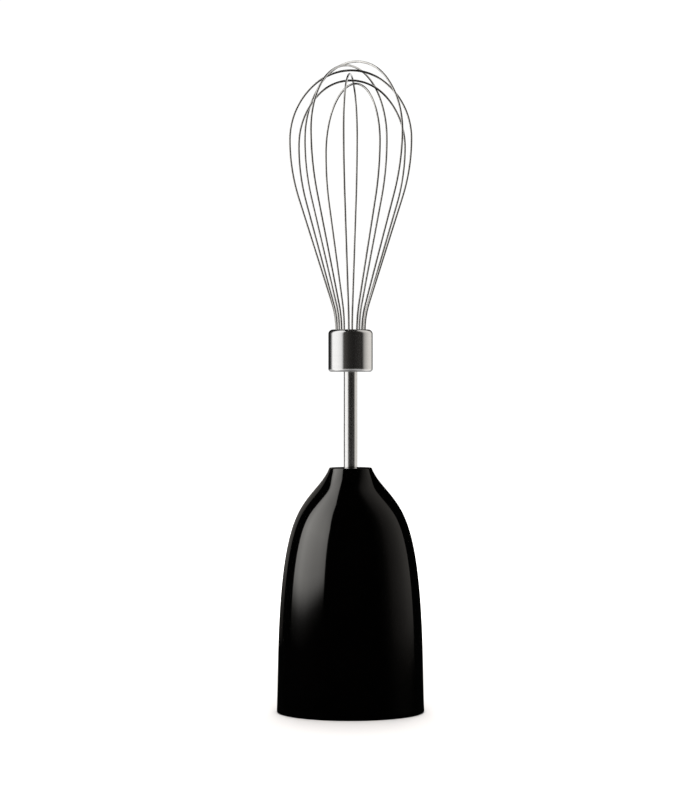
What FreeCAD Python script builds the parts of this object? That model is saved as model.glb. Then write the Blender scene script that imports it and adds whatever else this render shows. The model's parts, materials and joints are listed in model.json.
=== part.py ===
"""Whisk attachment of a stick blender: a bell-shaped coupling with a two-stage planetary
reduction inside it, and a balloon whisk whose shaft plugs into the gearbox output.

Units are millimetres. The origin is at the centre of the bell's rim, on the surface that the
attachment stands on. +Z runs up the common axis of bell, gears, shaft and whisk. The side that
faces -Y is called the front.
"""

import FreeCAD
import Part
import math
import os

# ---- driving dimensions ------------------------------------------------------------------------

BELL_RADIUS = 33.0
BELL_HEIGHT = 109.2
BELL_WALL = 2.2
RIM_ROUNDING = 0.8
NECK_ROUNDING = 0.6
NECK_HOLE_RADIUS = 3.6
# Outline of the bell, as (radius, height): waisted under the neck, full at the shoulder, and
# almost upright at the rim.
BELL_OUTLINE = [
    (BELL_RADIUS, 0.0),
    (32.1, 35.0),
    (30.4, 59.5),
    (27.4, 77.5),
    (22.6, 90.4),
    (16.9, 98.4),
    (12.4, 103.9),
    (9.4, BELL_HEIGHT),
]

SOCKET_RADIUS = 24.0
SOCKET_LAND = 9.0
SOCKET_INSET = 1.0
SLEEVE_TOP = 26.0
SLEEVE_FLANGE = 29.9
THROAT_RADIUS = 22.0

SHAFT_RADIUS = 3.0
EXPOSED_SHAFT = 42.8
FERRULE_RADIUS = 9.9
FERRULE_HEIGHT = 18.9
WIRE_RADIUS = 0.5
WIRE_CIRCLE = 6.5
WIRE_GRIP = 13.0
FERRULE_WALL = 0.8

MODULE = 0.7
SUN_TEETH = 18
PLANET_TEETH = 18
RING_TEETH = SUN_TEETH + 2 * PLANET_TEETH
PLANETS = 3
PRESSURE_ANGLE = math.radians(20)
ADDENDUM = 1.0
DEDENDUM = 1.25
FLANK_RELIEF = 0.06
GEAR_WIDTH = 8.0
PIN_RADIUS = 1.8

# Radial clearances: of a running fit, of a part that is pushed in, and of one that is pressed in.
RUNNING = 0.06
SEAT = 0.03
PRESS = 0.01
# Overall play where two parts only lie side by side.
GAP = 0.1

# How far a cutting shape runs past the faces that it opens.
PAST = 1.0
# Places closer together than this are the same place.
SAME = 0.001

# ---- sizes that follow from them ---------------------------------------------------------------

FERRULE_BOTTOM = BELL_HEIGHT + EXPOSED_SHAFT
FERRULE_TOP = FERRULE_BOTTOM + FERRULE_HEIGHT
ORBIT = MODULE * (SUN_TEETH + PLANET_TEETH) / 2
RING_PITCH = MODULE * RING_TEETH / 2

# Heights of the gearbox, from the socket upwards.
COUPLING_BOTTOM = SOCKET_INSET + SOCKET_LAND + 0.6
COUPLING_TOP = COUPLING_BOTTOM + 13.0
BUSH_BOTTOM = COUPLING_TOP + 0.5
COVER_BOTTOM = 28.6
FLANGE_BOTTOM = 31.0
FLANGE_TOP = 33.6
RING_BOTTOM = 34.0
FIRST_GEARS = 34.6
FIRST_DISC = FIRST_GEARS + GEAR_WIDTH + 0.6
DISC = 3.0
SECOND_GEARS = FIRST_DISC + DISC + 0.6
SECOND_DISC = SECOND_GEARS + GEAR_WIDTH + 0.6
RING_TOP = SECOND_DISC - 0.3
OUTPUT_HUB_TOP = SECOND_DISC + DISC + 1.2
BUSH_FLANGE = OUTPUT_HUB_TOP + 0.3
HOUSING_ROOF = BUSH_FLANGE + 1.0
ROOF = 3.5
TOWER_TOP = 101.2
SPINDLE_TOP = 100.5
SPINDLE_FLOOR = 70.0
DRIVE_FLATS = 10.0
SHAFT_ACROSS_FLATS = 5.0
FLATS_PLAY = 0.1
UPPER_BUSH_TOP = 99.0
CLIP_HEIGHT = 94.0
SEAL_SEAT = 106.4

RING_OUTER = 21.5
HOUSING_OUTER = 23.8
DISC_RADIUS = 17.6
SPINDLE_RADIUS = 4.8
TOWER_BORE = 6.5
TOWER_OUTER = 7.9
SEAL_SEAT_RADIUS = 8.0
INPUT_RADIUS = 2.5
PILOT_RADIUS = 1.5
SPIGOT_RADIUS = 4.0
SCREWS = 3
POST_CIRCLE = 27.2
POST_TURN = 0.0
POST_RADIUS = 2.8
POST_PILOT = 1.3
# The posts end up here, inside the wall of the bell.
POST_TOP = 85.0
COVER_SCREW_CIRCLE = 25.4
COVER_SCREW_TURN = 60.0
SCREW_HEAD = 1.9
SCREW_SEAT = 22.0
POST_PILOT_TOP = 48.0
LUGS = 3
BAYONET_TURN = 40.0
KEYS = 3
KEY_TURN = 30.0

# The six wire loops, from the top of the stack down. Each spans the whisk through its axis. "turn" is
# the direction of the loop's plane, in degrees from +X; "half" its half width; "waist" and "top" the
# heights of its widest point and its crown above the ferrule; "lean" how far the crown stands out
# of the upright plane; and "crown" how flat the crown is.
WIRE_LOOPS = [
    dict(turn=-38.0, half=27.6, waist=87.5, top=119.7, lean=2.5, crown=1.05),
    dict(turn=-128.0, half=27.5, waist=87.5, top=117.8, lean=-0.7, crown=1.05),
    dict(turn=-8.0, half=27.4, waist=85.0, top=115.6, lean=0.0, crown=1.0),
    dict(turn=-96.8, half=25.5, waist=88.9, top=113.9, lean=0.0, crown=1.0),
    dict(turn=-158.0, half=25.5, waist=81.5, top=110.8, lean=3.1, crown=1.03),
    dict(turn=-64.0, half=27.4, waist=81.5, top=109.6, lean=1.3, crown=1.015),
]
# Above the ferrule a wire bends out on this radius, then runs straight on a slope this much
# steeper than the line from its hole to its widest point.
WIRE_BEND = 38.0
WIRE_FLARE = 1.295

Z = FreeCAD.Vector(0, 0, 1)
ORIGIN = FreeCAD.Vector(0, 0, 0)
parts = {}


# ---- helpers -----------------------------------------------------------------------------------


def vector(x, y, z):
    return FreeCAD.Vector(x, y, z)


def cylinder(radius, bottom, top, at=(0.0, 0.0)):
    return Part.makeCylinder(radius, top - bottom, vector(at[0], at[1], bottom), Z)


def tube(outer, inner, bottom, top, at=(0.0, 0.0)):
    return cylinder(outer, bottom, top, at).cut(cylinder(inner, bottom - PAST, top + PAST, at))


def polar(radius, degrees):
    turn = math.radians(degrees)
    return radius * math.cos(turn), radius * math.sin(turn)


def turned(shape, degrees):
    copy = shape.copy()
    copy.rotate(ORIGIN, Z, degrees)
    return copy


def places(radius, count, first=0.0):
    """Evenly spaced (x, y) places round a circle."""
    return [polar(radius, first + 360.0 / count * i) for i in range(count)]


def circles_at(solid, height, radius):
    """A solid's level round edges at a height, from about this radius up."""
    found = []
    for edge in solid.Edges:
        box = edge.BoundBox
        level = abs(box.ZMin - height) < SAME and box.ZLength < SAME
        if level and box.XLength > 1.9 * radius:
            found.append(edge)
    return found


def revolved(points):
    """A solid of revolution from a closed outline of (radius, height) points."""
    corners = [vector(r, 0, z) for r, z in points]
    face = Part.Face(Part.makePolygon(corners + corners[:1]))
    return face.revolve(ORIGIN, Z, 360)


def sector(inner, outer, bottom, top, start, sweep):
    """A slice of a ring between two angles, in degrees."""
    corner = vector(inner, 0, bottom)
    section = Part.makePlane(outer - inner, top - bottom, corner, vector(0, -1, 0), vector(1, 0, 0))
    return turned(section.revolve(ORIGIN, Z, sweep), start)


def keep(name, shape):
    """Keeps a finished shape as the node of that name."""
    parts[name] = shape.removeSplitter() if len(shape.Solids) == 1 else shape


# ---- bell shell --------------------------------------------------------------------------------


def bell_curve():
    curve = Part.BSplineCurve()
    curve.interpolate([vector(r, 0, z) for r, z in BELL_OUTLINE])
    return curve


def inner_curve(curve):
    """The bell's inside, one wall in from the outline. It stops under the neck."""
    inside = []
    for r, z in BELL_OUTLINE[:-2]:
        here = curve.parameter(vector(r, 0, z))
        along = curve.tangent(here)[0]
        inside.append(vector(r - BELL_WALL * along.z, 0, z + BELL_WALL * along.x))
    inside[0] = vector(BELL_RADIUS - BELL_WALL, 0, 0)
    offset = Part.BSplineCurve()
    offset.interpolate(inside)
    return offset, inside[-1]


def polyline(points):
    corners = [vector(r, 0, z) for r, z in points]
    return [Part.LineSegment(a, b).toShape() for a, b in zip(corners, corners[1:])]


def bell_shell():
    curve = bell_curve()
    neck_radius = BELL_OUTLINE[-1][0]
    closing = [(neck_radius, BELL_HEIGHT), (0, BELL_HEIGHT), (0, 0), (BELL_RADIUS, 0)]
    outside = Part.Wire([curve.toShape()] + polyline(closing))
    solid = Part.Face(outside).revolve(ORIGIN, Z, 360)
    solid = solid.makeFillet(RIM_ROUNDING, circles_at(solid, 0.0, BELL_RADIUS))
    solid = solid.makeFillet(NECK_ROUNDING, circles_at(solid, BELL_HEIGHT, neck_radius))

    # Above the shoulder the cavity steps in to the seat of the shaft seal, then to the neck's hole.
    offset, shoulder = inner_curve(curve)
    ceiling = shoulder.z + 1.2
    steps = [
        (shoulder.x, shoulder.z),
        (shoulder.x - 2.0, ceiling),
        (SEAL_SEAT_RADIUS, ceiling),
        (SEAL_SEAT_RADIUS, SEAL_SEAT),
        (NECK_HOLE_RADIUS, SEAL_SEAT),
        (NECK_HOLE_RADIUS, BELL_HEIGHT + PAST),
        (0, BELL_HEIGHT + PAST),
        (0, 0),
        (BELL_RADIUS - BELL_WALL, 0),
    ]
    inside = Part.Wire([offset.toShape()] + polyline(steps))
    shell = solid.cut(Part.Face(inside).revolve(ORIGIN, Z, 360))

    # Three screw posts run down the inside of the wall to the gearbox flange.
    for at in places(POST_CIRCLE, SCREWS, POST_TURN):
        post = cylinder(POST_RADIUS, FLANGE_TOP + GAP, POST_TOP, at)
        shell = shell.fuse(post.common(solid))
        shell = shell.cut(cylinder(POST_PILOT, FLANGE_TOP, POST_PILOT_TOP, at))
    keep("bell_shell", shell)


# ---- socket for the motor handle ---------------------------------------------------------------


def coupling_sleeve():
    """The liner that the motor handle plugs into. Three long screws hold it, and the gearbox
    flange above it, up against the posts of the bell."""
    outer = 27.0
    # Flanges and ribs start inside the wall.
    root = outer - 1.0
    land_top = SOCKET_INSET + SOCKET_LAND
    sleeve = tube(outer, SOCKET_RADIUS, SOCKET_INSET, land_top)
    sleeve = sleeve.fuse(tube(outer, THROAT_RADIUS, land_top, SLEEVE_TOP))
    sleeve = sleeve.fuse(tube(SLEEVE_FLANGE, root, SLEEVE_TOP - 1.8, SLEEVE_TOP))
    sleeve = sleeve.fuse(tube(SLEEVE_FLANGE + 0.5, root, SOCKET_INSET, SOCKET_INSET + 2.0))
    ribs = 6
    rib_length = SLEEVE_FLANGE - outer + 0.9
    rib_width = 1.6
    rib_height = SLEEVE_TOP - SOCKET_INSET - 1.0
    foot = vector(root, -rib_width / 2, SOCKET_INSET + 0.5)
    rib = Part.makeBox(rib_length, rib_width, rib_height, foot)
    for i in range(ribs):
        sleeve = sleeve.fuse(turned(rib, 360.0 / ribs * i + 30.0))

    # Pillars that stand against the gearbox flange, and the wells that take their screws.
    pillar = 2.6
    well = 2.2
    shank_hole = 1.4
    for at in places(POST_CIRCLE, SCREWS, POST_TURN):
        sleeve = sleeve.fuse(cylinder(pillar, SCREW_SEAT - 1.0, FLANGE_BOTTOM - 0.05, at))
        sleeve = sleeve.fuse(cylinder(POST_RADIUS, SOCKET_INSET, SLEEVE_TOP, at))
        sleeve = sleeve.cut(cylinder(well, SOCKET_INSET - PAST, SCREW_SEAT, at))
        sleeve = sleeve.cut(cylinder(shank_hole, SCREW_SEAT - PAST, FLANGE_BOTTOM + PAST, at))

    # L-shaped bayonet tracks for the handle's lugs: each lug enters upwards and turns to lock.
    track_depth = SOCKET_RADIUS + 1.3
    track_top = 7.2
    lug_seat = 4.4
    entry_width = 10.0
    track_width = 22.0
    for i in range(LUGS):
        start = 360.0 / LUGS * i + BAYONET_TURN
        inside = SOCKET_RADIUS - PAST
        entry = sector(inside, track_depth, SOCKET_INSET - PAST, track_top, start, entry_width)
        lock = sector(inside, track_depth, lug_seat, track_top, start, track_width)
        sleeve = sleeve.cut(entry).cut(lock)

    # The sealing ring sits in a groove of the throat and stands a little proud of it.
    ring_height = 13.0
    groove = THROAT_RADIUS + 1.7
    sleeve = sleeve.cut(tube(groove, THROAT_RADIUS - PAST, ring_height - 1.0, ring_height + 1.0))
    keep("coupling_sleeve", sleeve)
    keep("socket_o_ring", Part.makeTorus(THROAT_RADIUS + 0.7, 0.9, vector(0, 0, ring_height), Z))


# ---- gearbox housing ---------------------------------------------------------------------------


def key_bars(radius, half_width, bottom, top):
    """Bars that reach out to a radius and key the ring gear into the housing."""
    length = 4.0
    bar = Part.makeBox(length, 2 * half_width, top - bottom, vector(radius - length, -half_width, bottom))
    return [turned(bar, 360.0 / KEYS * i + KEY_TURN) for i in range(KEYS)]


def gearbox_housing():
    """Cup over the ring gear, with a flange below and a bearing tower on its roof."""
    flange = 29.3
    housing = cylinder(flange, FLANGE_BOTTOM, FLANGE_TOP)
    housing = housing.fuse(cylinder(HOUSING_OUTER, FLANGE_BOTTOM, HOUSING_ROOF + ROOF))
    housing = housing.fuse(cylinder(TOWER_OUTER, HOUSING_ROOF, TOWER_TOP))

    # Gussets between the roof and the bearing tower, rooted a little way into both.
    gussets = 6
    thickness = 1.6
    reach = 20.0
    inside = TOWER_OUTER - 1.0
    buried = HOUSING_ROOF + 1.0
    roof_top = HOUSING_ROOF + ROOF
    gusset_top = roof_top + 17.0
    slope = [(inside, buried), (reach, buried), (reach, roof_top)]
    slope += [(TOWER_OUTER + 0.6, gusset_top), (inside, gusset_top)]
    corners = [vector(r, -thickness / 2, z) for r, z in slope]
    gusset = Part.Face(Part.makePolygon(corners + corners[:1])).extrude(vector(0, thickness, 0))
    for i in range(gussets):
        housing = housing.fuse(turned(gusset, 360.0 / gussets * i))

    # Bosses for the cover screws.
    boss = 2.4
    boss_top = 44.0
    cover_places = places(COVER_SCREW_CIRCLE, SCREWS, COVER_SCREW_TURN)
    for at in cover_places:
        housing = housing.fuse(cylinder(boss, FLANGE_BOTTOM, boss_top, at))

    # Seat of the ring gear with its keyways, room for the output carrier, and the tower's bore.
    ring_seat = RING_TOP + GAP
    housing = housing.cut(cylinder(RING_OUTER + SEAT, FLANGE_BOTTOM - PAST, ring_seat))
    for bar in key_bars(RING_OUTER + 0.9, 1.55, FLANGE_BOTTOM - PAST, ring_seat):
        housing = housing.cut(bar)
    housing = housing.cut(cylinder(DISC_RADIUS + 1.0, RING_TOP, HOUSING_ROOF))
    housing = housing.cut(cylinder(TOWER_BORE, HOUSING_ROOF - PAST, TOWER_TOP + PAST))

    shank_hole = 1.45
    for at in places(POST_CIRCLE, SCREWS, POST_TURN):
        housing = housing.cut(cylinder(shank_hole, FLANGE_BOTTOM - PAST, FLANGE_TOP + PAST, at))
    pilot = 1.25
    for at in cover_places:
        housing = housing.cut(cylinder(pilot, FLANGE_BOTTOM - PAST, boss_top - 2.0, at))
    keep("gearbox_housing", housing)


def gearbox_cover():
    """Disc that closes the gearbox from below, with a spigot up to the ring gear, a hub for the
    input bush and ribs on its underside."""
    disc = 24.4
    ear = 2.6
    hub = 6.5
    hub_top = RING_BOTTOM - 0.6
    spigot = RING_OUTER - GAP
    well_outer = 17.5
    well_inner = 8.0
    washer_well = 8.5
    bush = 4.0
    shank_hole = 1.35
    cover_places = places(COVER_SCREW_CIRCLE, SCREWS, COVER_SCREW_TURN)
    cover = cylinder(disc, COVER_BOTTOM, FLANGE_BOTTOM)
    for at in cover_places:
        cover = cover.fuse(cylinder(ear, COVER_BOTTOM, FLANGE_BOTTOM, at))
    cover = cover.fuse(cylinder(spigot, FLANGE_BOTTOM, RING_BOTTOM - GAP))
    cover = cover.cut(tube(well_outer, well_inner, FLANGE_BOTTOM - 0.4, RING_BOTTOM))
    cover = cover.cut(cylinder(washer_well, hub_top, RING_BOTTOM))
    cover = cover.fuse(cylinder(hub, BUSH_BOTTOM, hub_top))
    ribs = 6
    rib_width = 1.4
    rib_depth = 2.0
    rib_start = hub - 0.5
    foot = vector(rib_start, -rib_width / 2, COVER_BOTTOM - rib_depth)
    rib = Part.makeBox(9.5, rib_width, rib_depth + 1.0, foot)
    for i in range(ribs):
        cover = cover.fuse(turned(rib, 360.0 / ribs * i + 30.0))
    cover = cover.cut(cylinder(bush + SEAT, BUSH_BOTTOM - PAST, RING_BOTTOM))
    for at in cover_places:
        cover = cover.cut(cylinder(shank_hole, COVER_BOTTOM - PAST, FLANGE_BOTTOM + PAST, at))
    keep("gearbox_cover", cover)


def screw(head_radius, shank_radius, seat, length, at):
    """A pan-head screw driven upwards, with a cross recess in its head."""
    rounding = 0.5
    recess_length = 2.2
    recess_width = 0.6
    recess_depth = 1.0
    bottom = seat - SCREW_HEAD
    body = cylinder(head_radius, bottom, seat, at)
    body = body.makeFillet(rounding, circles_at(body, bottom, head_radius))
    body = body.fuse(cylinder(shank_radius, seat - GAP, seat + length, at))
    for x, y in ((recess_length, recess_width), (recess_width, recess_length)):
        corner = vector(at[0] - x / 2, at[1] - y / 2, bottom - GAP)
        body = body.cut(Part.makeBox(x, y, recess_depth + GAP, corner))
    return body


def gearbox_screws():
    """Three short screws hold the cover; three long ones hold sleeve and gearbox to the bell."""
    cover_places = places(COVER_SCREW_CIRCLE, SCREWS, COVER_SCREW_TURN)
    post_places = places(POST_CIRCLE, SCREWS, POST_TURN)
    short = [screw(2.1, 1.2, COVER_BOTTOM, 12.5, at) for at in cover_places]
    long = [screw(2.0, 1.25, SCREW_SEAT, 24.5, at) for at in post_places]
    keep("cover_screws", Part.makeCompound(short))
    keep("housing_screws", Part.makeCompound(long))


def bushes():
    """Sintered bearings: one for the input shaft and two for the output spindle."""
    keep("input_bush", tube(4.0, INPUT_RADIUS + RUNNING, BUSH_BOTTOM, RING_BOTTOM - 0.6))
    bore = SPINDLE_RADIUS + RUNNING
    outer = TOWER_BORE - SEAT
    flange = 9.0
    length = 10.0
    lower = cylinder(outer, HOUSING_ROOF - 0.5, HOUSING_ROOF + length)
    lower = lower.fuse(cylinder(flange, BUSH_FLANGE, HOUSING_ROOF))
    keep("lower_output_bush", lower.cut(cylinder(bore, BUSH_FLANGE - PAST, HOUSING_ROOF + length + PAST)))
    keep("upper_output_bush", tube(outer, bore, UPPER_BUSH_TOP - 11.0, UPPER_BUSH_TOP))


def shaft_seal():
    """Rubber lip seal under the neck: an outer band, a web, and a lip that wipes the whisk's shaft."""
    outer = SEAL_SEAT_RADIUS - SEAT
    band = 6.2
    bottom = TOWER_TOP + GAP
    top = SEAL_SEAT - GAP
    web = SEAL_SEAT - 1.9
    lip = SHAFT_RADIUS + GAP
    outline = [(outer, bottom), (outer, top), (lip + 0.5, top)]
    outline += [(lip, SEAL_SEAT - 0.8), (lip, SEAL_SEAT - 1.4), (4.6, web)]
    outline += [(band, web), (band, bottom)]
    keep("shaft_seal", revolved(outline))


# ---- gears -------------------------------------------------------------------------------------


def involute(angle):
    return math.tan(angle) - angle


def gear_outline(teeth, outer, inner, thickness, phase=0.0, steps=4):
    """The outline of a spur gear whose involute flanks are cut into straight steps. One tooth is
    centred at the phase angle, in degrees; thickness is its width at the pitch circle."""
    pitch_radius = MODULE * teeth / 2
    base = pitch_radius * math.cos(PRESSURE_ANGLE)
    half_pitch = thickness / 2 / pitch_radius + involute(PRESSURE_ANGLE)
    low = max(inner, base)
    flank = []
    for i in range(steps):
        r = low + (outer - low) * i / (steps - 1)
        flank.append((r, half_pitch - involute(math.acos(base / r))))
    if inner < base:
        flank.insert(0, (inner, flank[0][1]))
    corners = []
    for i in range(teeth):
        centre = math.radians(phase) + 2 * math.pi * i / teeth
        side = [(r, centre - half) for r, half in flank] + [(r, centre + half) for r, half in flank[::-1]]
        corners += [vector(r * math.cos(a), r * math.sin(a), 0) for r, a in side]
    return corners


def prism(corners, bottom, top):
    face = Part.Face(Part.makePolygon(corners + corners[:1]))
    face.translate(vector(0, 0, bottom))
    return face.extrude(vector(0, 0, top - bottom))


def spur_gear(teeth, bottom, top, phase=0.0):
    pitch_radius = MODULE * teeth / 2
    thickness = math.pi * MODULE / 2 - 2 * FLANK_RELIEF
    outer = pitch_radius + ADDENDUM * MODULE
    root = pitch_radius - DEDENDUM * MODULE
    return prism(gear_outline(teeth, outer, root, thickness, phase), bottom, top)


def ring_gear():
    """The fixed internal gear that both stages run in, keyed into the housing."""
    half_pitch = 180.0 / RING_TEETH
    space = math.pi * MODULE / 2 + 2 * FLANK_RELIEF
    root = RING_PITCH + DEDENDUM * MODULE
    tip = RING_PITCH - ADDENDUM * MODULE
    spaces = gear_outline(RING_TEETH, root, tip, space, half_pitch)
    ring = cylinder(RING_OUTER, RING_BOTTOM, RING_TOP)
    for bar in key_bars(RING_OUTER + 0.8, 1.5, RING_BOTTOM, RING_TOP):
        ring = ring.fuse(bar)
    keep("ring_gear", ring.cut(prism(spaces, RING_BOTTOM - PAST, RING_TOP + PAST)))


def planets(stage, bottom):
    """Three planet gears, turned half a tooth so that a space faces the sun and another the ring."""
    top = bottom + GEAR_WIDTH
    blank = spur_gear(PLANET_TEETH, bottom, top, 180.0 / PLANET_TEETH)
    blank = blank.cut(cylinder(PIN_RADIUS + RUNNING, bottom - PAST, top + PAST))
    for i, (x, y) in enumerate(places(ORBIT, PLANETS)):
        gear = blank.copy()
        gear.translate(vector(x, y, 0))
        keep(f"{stage}_planet_gear_{i + 1}", gear)


def planet_pins(stage, bottom, top):
    pins = [cylinder(PIN_RADIUS, bottom, top, at) for at in places(ORBIT, PLANETS)]
    keep(f"{stage}_planet_pins", Part.makeCompound(pins))


def pin_holes(bottom, top):
    holes = [cylinder(PIN_RADIUS + PRESS, bottom, top, at) for at in places(ORBIT, PLANETS)]
    return Part.makeCompound(holes)


# ---- input side --------------------------------------------------------------------------------


def drive_flat(depth_play, bottom, top):
    """The block outside the input shaft's flat, which faces +X. The flat carries the drive from
    the coupling."""
    side = 6.0
    corner = vector(INPUT_RADIUS - 0.5 + depth_play, -side / 2, bottom)
    return Part.makeBox(side, side, top - bottom, corner)


def input_drive():
    """The motor's driver turns the coupling; its shaft carries the first sun gear."""
    shaft_bottom = COUPLING_BOTTOM + 6.5
    shoulder = FIRST_DISC + 0.1
    shaft = cylinder(INPUT_RADIUS, shaft_bottom, shoulder)
    shaft = shaft.fuse(cylinder(PILOT_RADIUS, shoulder - 0.1, FIRST_DISC + DISC + 4.0))
    keep("input_shaft", shaft.cut(drive_flat(0.0, shaft_bottom - PAST, COUPLING_TOP)))

    outer = 7.5
    recess_corner = 4.62
    coupling = cylinder(outer, COUPLING_BOTTOM, COUPLING_TOP)
    coupling = coupling.makeChamfer(0.8, circles_at(coupling, COUPLING_BOTTOM, outer))
    hexagon = [vector(*polar(recess_corner, 60 * i), 0) for i in range(6)]
    coupling = coupling.cut(prism(hexagon, COUPLING_BOTTOM - PAST, shaft_bottom - 0.5))
    bore = cylinder(INPUT_RADIUS + PRESS, shaft_bottom - PAST, COUPLING_TOP + PAST)
    coupling = coupling.cut(bore.cut(drive_flat(PRESS, shaft_bottom, shaft_bottom + COUPLING_TOP)))
    # Six grip flutes round the outside.
    flute = 1.5
    for at in places(outer + 0.8, 6, 30.0):
        coupling = coupling.cut(cylinder(flute, COUPLING_BOTTOM + 3.0, COUPLING_TOP + PAST, at))
    keep("drive_coupling", coupling)

    sun = spur_gear(SUN_TEETH, FIRST_GEARS, FIRST_DISC - 0.3)
    keep("sun_gear", sun.cut(cylinder(INPUT_RADIUS + PRESS, FIRST_GEARS - PAST, FIRST_DISC)))
    washer_bore = INPUT_RADIUS + SEAT
    keep("upper_thrust_washer", tube(5.0, washer_bore, RING_BOTTOM - 0.5, FIRST_GEARS - GAP))
    keep("lower_thrust_washer", tube(5.5, washer_bore, COUPLING_TOP + GAP, BUSH_BOTTOM - GAP))


# ---- first stage carrier -----------------------------------------------------------------------


def first_carrier():
    """Disc that carries the first planets below and, on a spigot, the second sun gear above."""
    top = FIRST_DISC + DISC
    below = FIRST_DISC - PAST
    carrier = cylinder(DISC_RADIUS, FIRST_DISC, top)
    lightening = 3.4
    for at in places(ORBIT - 0.6, PLANETS, 60.0):
        carrier = carrier.cut(cylinder(lightening, below, top + PAST, at))
    carrier = carrier.cut(cylinder(SPIGOT_RADIUS + PRESS, below, top + PAST))
    keep("first_carrier", carrier.cut(pin_holes(below, top + PAST)))
    planet_pins("first", FIRST_GEARS - 0.2, top)
    sun = spur_gear(SUN_TEETH, top + 0.05, SECOND_DISC - 0.5)
    sun = sun.fuse(cylinder(SPIGOT_RADIUS, FIRST_DISC + 0.2, top + 0.2))
    # The input shaft's pilot runs in a blind bore.
    keep("second_sun_gear", sun.cut(cylinder(PILOT_RADIUS + RUNNING, below, top + 4.3)))


# ---- output carrier, spindle and clips ---------------------------------------------------------


def double_flat(radius, across, bottom, top):
    """A round bar with two flats, facing +Y and -Y."""
    slab = Part.makeBox(4 * radius, across, top - bottom, vector(-2 * radius, -across / 2, bottom))
    return cylinder(radius, bottom, top).common(slab)


def output_carrier():
    """Disc that carries the second planets, with the spindle pressed into its hub."""
    top = SECOND_DISC + DISC
    hub = 8.0
    carrier = cylinder(DISC_RADIUS, SECOND_DISC, top).fuse(cylinder(hub, top - 0.5, OUTPUT_HUB_TOP))
    carrier = carrier.cut(cylinder(SPINDLE_RADIUS + PRESS, SECOND_DISC - PAST, OUTPUT_HUB_TOP + PAST))
    keep("output_carrier", carrier.cut(pin_holes(SECOND_DISC - PAST, top - 0.4)))
    planet_pins("second", SECOND_GEARS - 0.2, top - 0.45)


def output_spindle():
    """Hollow spindle. The whisk's shaft plugs into it: two flats at its floor carry the drive, and
    a ring of spring wire in a groove holds the shaft."""
    bore = SHAFT_RADIUS + RUNNING
    flats_top = SPINDLE_FLOOR + DRIVE_FLATS
    across = SHAFT_ACROSS_FLATS + FLATS_PLAY
    spindle = cylinder(SPINDLE_RADIUS, SECOND_DISC, SPINDLE_TOP)
    spindle = spindle.makeChamfer(0.4, circles_at(spindle, SPINDLE_TOP, SPINDLE_RADIUS))
    spindle = spindle.cut(double_flat(bore, across, SPINDLE_FLOOR, flats_top + 0.2))
    spindle = spindle.cut(cylinder(bore, flats_top, SPINDLE_TOP + PAST))
    spindle = spindle.cut(cylinder(3.75, CLIP_HEIGHT - 0.5, CLIP_HEIGHT + 0.5))

    # A circlip above the upper bush keeps the spindle from dropping.
    groove_radius = 4.4
    groove_bottom = UPPER_BUSH_TOP + 0.2
    groove_top = UPPER_BUSH_TOP + 1.0
    spindle = spindle.cut(tube(SPINDLE_RADIUS + PAST, groove_radius, groove_bottom, groove_top))
    keep("output_spindle", spindle)
    circlip = tube(6.1, groove_radius + SEAT, groove_bottom + 0.05, groove_top - 0.05)
    mouth = sector(0, 8.0, UPPER_BUSH_TOP, UPPER_BUSH_TOP + 2.0, -20, 40)
    keep("spindle_circlip", circlip.cut(mouth))

    wire = 0.42
    clip_radius = 3.26
    start = vector(clip_radius, 0, CLIP_HEIGHT)
    section = Part.Face(Part.Wire(Part.makeCircle(wire, start, vector(0, 1, 0))))
    keep("retaining_clip", turned(section.revolve(ORIGIN, Z, 300), 30))


# ---- whisk -------------------------------------------------------------------------------------


def whisk_shaft():
    """Steel rod with two flats at its lower end, a groove for the retaining clip, and grooves that
    the ferrule's plug grips."""
    bottom = SPINDLE_FLOOR + 0.2
    flats_top = SPINDLE_FLOOR + DRIVE_FLATS
    past = SHAFT_RADIUS + PAST
    shaft = cylinder(SHAFT_RADIUS, bottom, FERRULE_TOP - 5.0)
    ends = [e for e in shaft.Edges if e.BoundBox.ZLength < SAME]
    shaft = shaft.makeChamfer(0.5, ends)
    rounds = cylinder(past, bottom - PAST, flats_top)
    flats = double_flat(past + PAST, SHAFT_ACROSS_FLATS, bottom - 2 * PAST, flats_top + PAST)
    shaft = shaft.cut(rounds.cut(flats))
    shaft = shaft.cut(tube(past, 2.7, CLIP_HEIGHT - 0.6, CLIP_HEIGHT + 0.6))
    grooves = 3
    for i in range(grooves):
        level = FERRULE_BOTTOM + 4.0 + 3.0 * i
        shaft = shaft.cut(tube(past, SHAFT_RADIUS - 0.3, level, level + 1.0))
    keep("whisk_shaft", shaft)


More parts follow.
